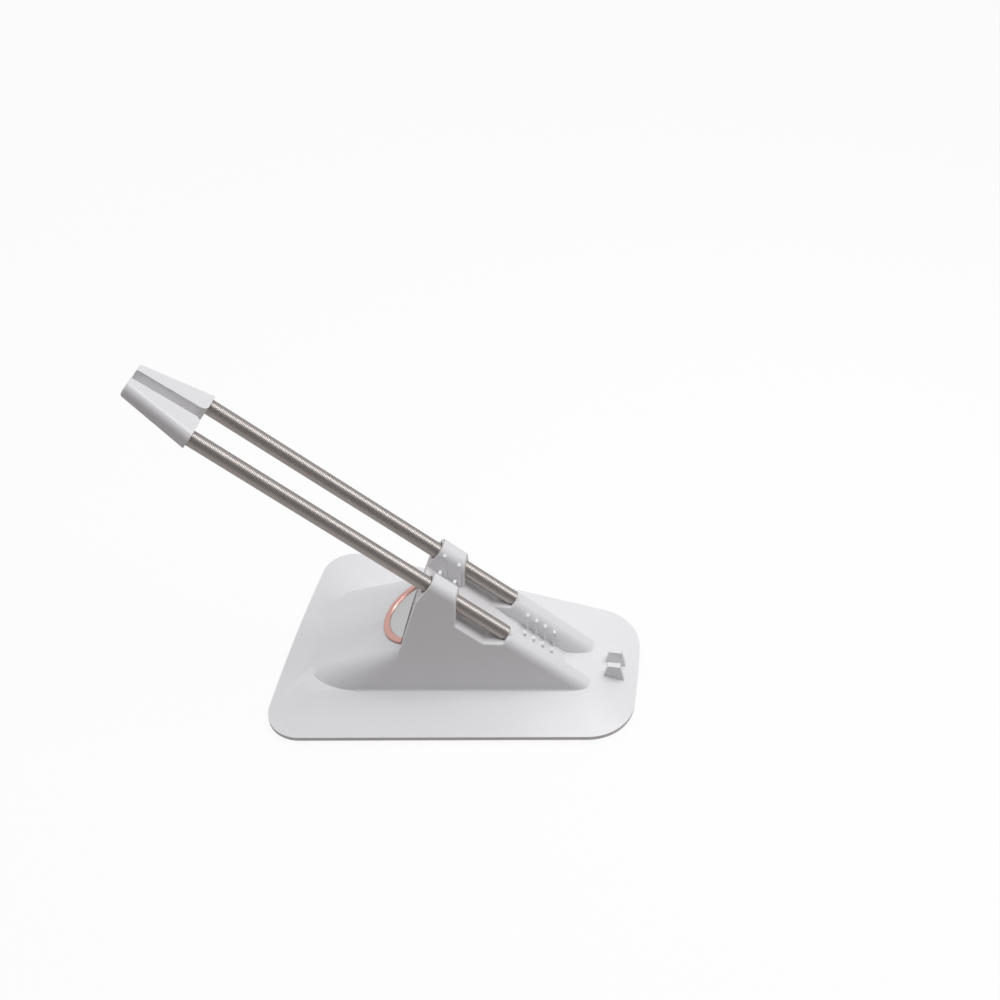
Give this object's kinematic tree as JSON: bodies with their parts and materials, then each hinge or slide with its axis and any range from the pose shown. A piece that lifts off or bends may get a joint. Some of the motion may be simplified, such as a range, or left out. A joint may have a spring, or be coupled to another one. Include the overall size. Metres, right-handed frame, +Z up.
{
  "type": "mouse bungee",
  "caption": "Weighted desk stand with a sprung arm; a slotted clip, a ribbed channel and small posts guide a mouse cord.",
  "frame": {"origin": "centre of the base's footprint on the desk, at the pad's underside", "axes": "+Z up from the desk, +X towards the mouse, where the cord leaves, +Y to the left; the part mirrors across y = 0"},
  "size_m": [0.1535, 0.0842, 0.1031],
  "materials": {
    "white_plastic": "satin gloss",
    "cover_plastic": "moulded satin",
    "pad_silicone": "matt",
    "ballast_iron": "as cast",
    "screw_steel": "zinc plated",
    "spring_steel": "drawn stainless wire",
    "ring_metal": "rose, satin",
    "disc_metal": "polished"
  },
  "bodies": {
    "base": {"base_shell": "white_plastic", "bottom_cover": "cover_plastic", "foot_pad": "pad_silicone", "ballast": "ballast_iron", "cover_screws": "screw_steel", "badge_ring": "ring_metal", "badge_disc": "disc_metal"},
    "arm": {"tip_clip": "white_plastic", "left_spring": "spring_steel", "right_spring": "spring_steel"}
  },
  "joints": [
    {"name": "arm_flex", "type": "hinge", "parent": "base", "child": "arm", "pos_m": [-0.02266, 0, 0.04989], "axis": [0, 1, 0], "range_deg": [-20, 30], "stiffness_Nm_per_rad": 0.25, "deforming": ["left_spring", "right_spring"]}
  ]
}
